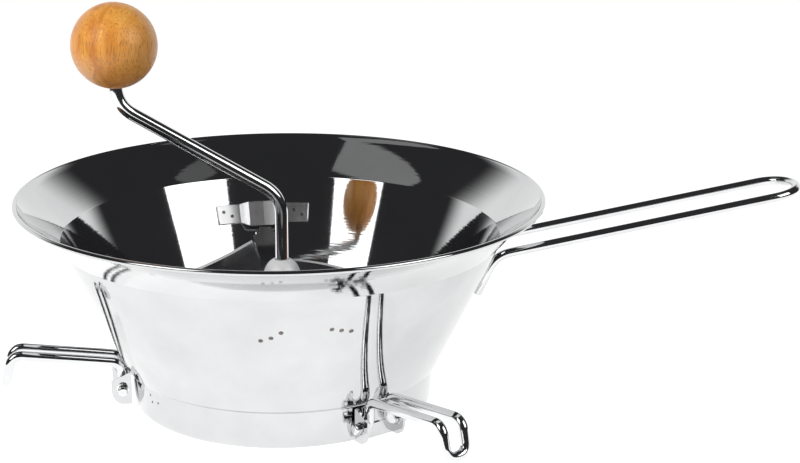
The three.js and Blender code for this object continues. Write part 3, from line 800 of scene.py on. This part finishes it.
def build_vane(name, node, ribs, steps):
    root, spans, gauge = 6.5, 28, BLADE_GAUGE
    edge = [Vector((azimuth, radius, height)) for azimuth, radius, height, _ in ribs]
    hub = [Vector((azimuth, root, height)) for azimuth, _, _, height in ribs]

    def grid(drop):
        rows = []
        for i in range(steps + 1):
            outer, inner = spline(edge, i / steps), spline(hub, i / steps)
            row = []
            for j in range(spans + 1):
                share = j / spans
                radius = root + (outer.y - root) * share
                height = inner.z + (outer.z - inner.z) * share - drop
                row.append(polar(radius, outer.x, height))
            rows.append(row)
        return rows

    points, faces = sheet(grid(0), grid(gauge))
    piece = make_piece(name, points, faces, BLADE_STEEL, "crank", [node], sharp=30)
    # The outermost strip of the top and the outer wall are the ground edge.
    piece.data.materials.append(EDGE_STEEL)
    per_row = 2 * spans + 2
    for i in range(steps):
        piece.data.polygons[(i + 1) * per_row - 1].material_index = 1
        piece.data.polygons[i * per_row + 2 * (spans - 1)].material_index = 1
    bevel(piece, 0.38, angle=50)


build_vane("auger_vane", "auger_blade", AUGER_RIBS, 96)
build_vane("tail_vane", "tail_blade", TAIL_RIBS, 24)

# ---- Sprung crossbar ---------------------------------------------------------------------------------

BAR_BOTTOM, BAR_GAUGE = 56, 1.5
LOWER_WASHER = SLEEVE_HIGH + FIT
UPPER_WASHER = BAR_BOTTOM - FIT - 1


def build_bar():
    half, wide, shoulder, tongue_root, tongue = 83.4, 7.4, 66, 75, 3
    corner = []
    end = half - tongue
    for k in range(11):
        a = math.radians(9 * k)
        corner.append((end + tongue * math.cos(a), tongue * math.sin(a)))
    waist = shoulder + 3
    for k in range(13):
        t = k / 12
        x = tongue_root * (1 - t) ** 2 + waist * 2 * t * (1 - t) + shoulder * t * t
        y = tongue * (1 - t) ** 2 + tongue * 2 * t * (1 - t) + wide * t * t
        corner.append((x, y))
    outline = list(corner)
    outline += [(-x, y) for x, y in reversed(corner)]
    outline += [(-x, -y) for x, y in corner[1:]]
    outline += [(x, -y) for x, y in reversed(corner[1:])]
    hole = []
    for k in range(32):
        a = 2 * math.pi * k / 32
        hole.append((RUNNING_BORE * math.cos(a), RUNNING_BORE * math.sin(a)))
    flat = [Vector(p) for p in outline + hole]
    n, h = len(outline), len(hole)
    edges = [(k, (k + 1) % n) for k in range(n)] + [(n + k, n + (k + 1) % h) for k in range(h)]
    found = geometry.delaunay_2d_cdt(flat, edges, [], 0, 1e-5)
    plan = found[0]

    def inside(p):
        hit = False
        for a, b in zip(outline, outline[1:] + outline[:1]):
            if (a[1] > p.y) != (b[1] > p.y) and p.x < (b[0] - a[0]) * (p.y - a[1]) / (b[1] - a[1]) + a[0]:
                hit = not hit
        return hit and p.length > 3.2

    faces = []
    for f in found[2]:
        c = sum((plan[i] for i in f), Vector((0, 0))) / len(f)
        if inside(c):
            faces.append(tuple(f))
    turn = Matrix.Rotation(math.radians(BAR_AZIMUTH), 2)
    points = []
    for level in (BAR_BOTTOM + BAR_GAUGE, BAR_BOTTOM):
        for p in plan:
            q = turn @ p
            points.append(local(q.x, q.y, level))
    count = len(plan)
    used = {(a, b) for f in faces for a, b in zip(f, f[1:] + f[:1])}
    whole = list(faces) + [tuple(count + i for i in reversed(f)) for f in faces]
    whole += [(b, a, count + a, count + b) for a, b in used if (b, a) not in used]
    bar = make_piece("sprung_bar", points, whole, SHEET_STEEL, "bar", ["crossbar"],
                     sharp=30)
    bevel(bar, 0.35)

    base = BAR_BOTTOM + BAR_GAUGE + FIT
    dome, inner = 8.4, 7.4
    open_out = math.degrees(math.acos(RUNNING_BORE / dome))
    open_in = math.degrees(math.acos(RUNNING_BORE / inner))
    profile = arc((0, base), dome, 0, open_out, 14) + arc((0, base), inner, open_in, 0, 14)
    points, faces = lathe(eased(profile, 0.25, 2), 64)
    make_piece("dome_cap", points, faces, DOME_STEEL, "bar", ["hub_dome"], sharp=50)

    coil_radius, coil_wire, turns = 5.4, 0.8, 4
    low, high = LOWER_WASHER + 1 + FIT + coil_wire, UPPER_WASHER - FIT - coil_wire
    coil = []
    for k in range(turns * 40 + 1):
        t = k / (turns * 40)
        coil.append(polar(coil_radius, 360 * turns * t, low + (high - low) * t))
    points, faces = tube(coil, coil_wire, 14)
    spring = make_piece("press_spring", points, faces, SPRING_STEEL, "bar", ["hub_spring"])
    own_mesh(spring)
    for name, node, level, body in (("spring_seat", "washer_lower", LOWER_WASHER, "crank"),
                                    ("spring_cap", "washer_upper", UPPER_WASHER, "bar")):
        profile = eased([(RUNNING_BORE, level), (7, level),
                         (7, level + 1), (RUNNING_BORE, level + 1)], 0.25, 2)
        points, faces = lathe(profile, 40)
        make_piece(name, points, faces, SATIN, body, [node], sharp=50)


build_bar()

# ---- Knob --------------------------------------------------------------------------------------------


def build_knob():
    radius, bore, bore_top, mouth_top = 19, 4.6, 10, -15.5
    mouth = math.degrees(math.asin(bore / radius)) - 90
    ball = arc((0, 0), radius, mouth + 2.5, 90, 56)[:-1] + [(0, radius)]
    lip = eased([(bore, mouth_top), (bore, ball[0][1] - 0.15), ball[0]], 0.6, 4, loop=False)
    profile = [(0, bore_top), (bore, bore_top)] + lip + ball[1:]
    points, faces = lathe(profile, 96, knob_centre)
    make_piece("beech_ball", points, faces, BEECH, "grip", ["knob"], sharp=50)
    for name, node, body, low, high, slot, material in (
        ("knob_tube", "knob_bush", "grip", -17, 5, "brass", BRASS),
        ("stem_clip", "knob_clip", "crank", 5.3, 6.3, "satin_steel", SATIN),
    ):
        profile = eased([(RUNNING_BORE, low), (4.3, low), (4.3, high), (RUNNING_BORE, high)], 0.25, 2)
        points, faces = lathe(profile, 40, knob_centre)
        make_piece(name, points, faces, material, body, [node], sharp=50)


build_knob()

# ---- Feet --------------------------------------------------------------------------------------------

PIVOT = (74.2, 8.6)
FOOT_TILT = math.radians(6.5)
FOOT_RISE, FOOT_REACH, FOOT_SPLAY, FOOT_DROP = 11.2, 49.6, 2, 14.5
FOOT_WIRE, FOOT_HALF, FOOT_BEND = 2.3, 5.35, 5
EAR_SPAN, STUB_PAST_EAR = 10.4, 3.1


def build_foot(place, azimuth):
    def lean(along, above):
        return (PIVOT[0] + along * math.cos(FOOT_TILT) - above * math.sin(FOOT_TILT),
                PIVOT[1] + FOOT_RISE + along * math.sin(FOOT_TILT) + above * math.cos(FOOT_TILT))

    out, end = lean(FOOT_REACH, 0), lean(FOOT_REACH + FOOT_SPLAY, -FOOT_DROP)
    turn = Matrix.Rotation(math.radians(azimuth), 3, "Z")

    def at(x, y, z):
        return AXIS + turn @ Vector((x, y, z)) * MM

    half = FOOT_HALF
    corners = []
    for side in (-1, 1):
        leg = [at(PIVOT[0], side * (EAR_SPAN + STUB_PAST_EAR), PIVOT[1]), at(PIVOT[0], side * half, PIVOT[1]),
               at(PIVOT[0], side * half, PIVOT[1] + FOOT_RISE), at(out[0], side * half, out[1]),
               at(end[0], side * half, end[1])]
        corners += leg if side < 0 else list(reversed(leg))
    path = respaced(bent_path(corners, FOOT_BEND, 12), 5)
    points, faces = tube(path, FOOT_WIRE, 24, dome=0.22)
    make_piece("foot_wire_" + place, points, faces, WIRE_STEEL, "foot_%s_wire" % place,
               ["foot_" + place])
    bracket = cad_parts["foot_bracket_" + place]
    mesh = bracket.data
    mesh.materials.clear()
    mesh.materials.append(SHEET_STEEL)
    mesh.polygons.foreach_set("use_smooth", [True] * len(mesh.polygons))
    mesh.set_sharp_from_angle(angle=math.radians(35))
    bevel(bracket, 0.25, angle=50)


for place, azimuth in (("left", 180), ("front", -60), ("rear", 60)):
    build_foot(place, azimuth)

# ---- Studio ------------------------------------------------------------------------------------------


def build_floor():
    """A plain pale round table top under the object."""
    mesh = bpy.data.meshes.new("floor")
    radius, sides, below = 550, 180, -0.2
    rim = [polar(radius, 360 * k / sides, below) for k in range(sides)]
    mesh.from_pydata([tuple(p) for p in rim], [], [tuple(range(sides))])
    floor = bpy.data.objects.new("floor", mesh)
    bpy.context.collection.objects.link(floor)
    m = Nodes("pale_floor")
    tone = m.noise(m.mapped((1, 1, 1)), 3, detail=2)
    tint = m.ramp(tone, [(0.3, (0.49, 0.49, 0.49)), (0.7, (0.51, 0.51, 0.51))])
    m.link(tint, m.shader.inputs["Base Color"])
    m.shader.inputs["Roughness"].default_value = 0.9
    m.shader.inputs["Specular IOR Level"].default_value = 0.0
    m.shader.inputs["Emission Color"].default_value = (1, 1, 1, 1)
    m.shader.inputs["Emission Strength"].default_value = 0.92
    mesh.materials.append(m.material)


def softbox(name, azimuth, elevation, distance, width, height, radiance, mirrored=True):
    """A rectangular soft light aimed at the bowl, which mirrored=False keeps out of the reflections.

    Azimuth 0 is from straight in front, and positive is to the right.
    """
    data = bpy.data.lights.new(name, "AREA")
    data.shape = "RECTANGLE"
    data.size, data.size_y = width, height
    data.energy = radiance * math.pi * width * height
    lamp = bpy.data.objects.new(name, data)
    bpy.context.collection.objects.link(lamp)
    a, e = math.radians(azimuth), math.radians(elevation)
    away = Vector((math.sin(a) * math.cos(e), -math.cos(a) * math.cos(e), math.sin(e)))
    target = AXIS + Vector((0, 0, 0.08))
    lamp.location = target + away * distance
    lamp.rotation_mode = "QUATERNION"
    lamp.rotation_quaternion = away.to_track_quat("Z", "Y")
    lamp.visible_glossy = mirrored


def build_world():
    """A dark studio ceiling and camera side, over a white sweep behind the object."""
    world = bpy.data.worlds.new("studio")
    bpy.context.scene.world = world
    world.use_nodes = True
    tree = world.node_tree
    background = tree.nodes["Background"]
    source = tree.nodes.new("ShaderNodeTexCoord")
    apart = tree.nodes.new("ShaderNodeSeparateXYZ")
    tree.links.new(source.outputs["Generated"], apart.inputs[0])

    def ranged(value, low, high):
        node = tree.nodes.new("ShaderNodeMapRange")
        node.interpolation_type = "SMOOTHSTEP"
        node.inputs["From Min"].default_value = low
        node.inputs["From Max"].default_value = high
        tree.links.new(value, node.inputs["Value"])
        return node.outputs["Result"]

    def times(a, b):
        node = tree.nodes.new("ShaderNodeMath")
        node.operation = "MULTIPLY"
        tree.links.new(a, node.inputs[0])
        tree.links.new(b, node.inputs[1])
        return node.outputs[0]

    behind = ranged(apart.outputs["Y"], 0.35, 0.6)
    low = ranged(apart.outputs["Z"], 0.62, 0.36)
    mixed = tree.nodes.new("ShaderNodeMix")
    mixed.data_type = "RGBA"
    tree.links.new(times(behind, low), mixed.inputs["Factor"])
    a, b = [s for s in mixed.inputs if s.identifier in ("A_Color", "B_Color")]
    a.default_value = (0.03, 0.03, 0.032, 1)
    b.default_value = (1.02, 1.02, 1.02, 1)
    result = next(s for s in mixed.outputs if s.identifier == "Result_Color")
    tree.links.new(result, background.inputs["Color"])
    background.inputs["Strength"].default_value = 1.0


build_floor()
build_world()
softbox("softbox_right", 52, 31, 1.3, 0.745, 0.8, 2.6)
softbox("softbox_left", -55, 31, 1.3, 0.57, 0.8, 2.6)
softbox("fill_left", -50, 48, 1.2, 0.4, 0.4, 16, mirrored=False)
softbox("flare_glow_right", -105, 64, 1.3, 0.44, 0.57, 0.23)
softbox("flare_glow_left", 86, 66, 1.3, 0.22, 0.25, 0.1)
bpy.context.scene.view_settings.view_transform = "Standard"
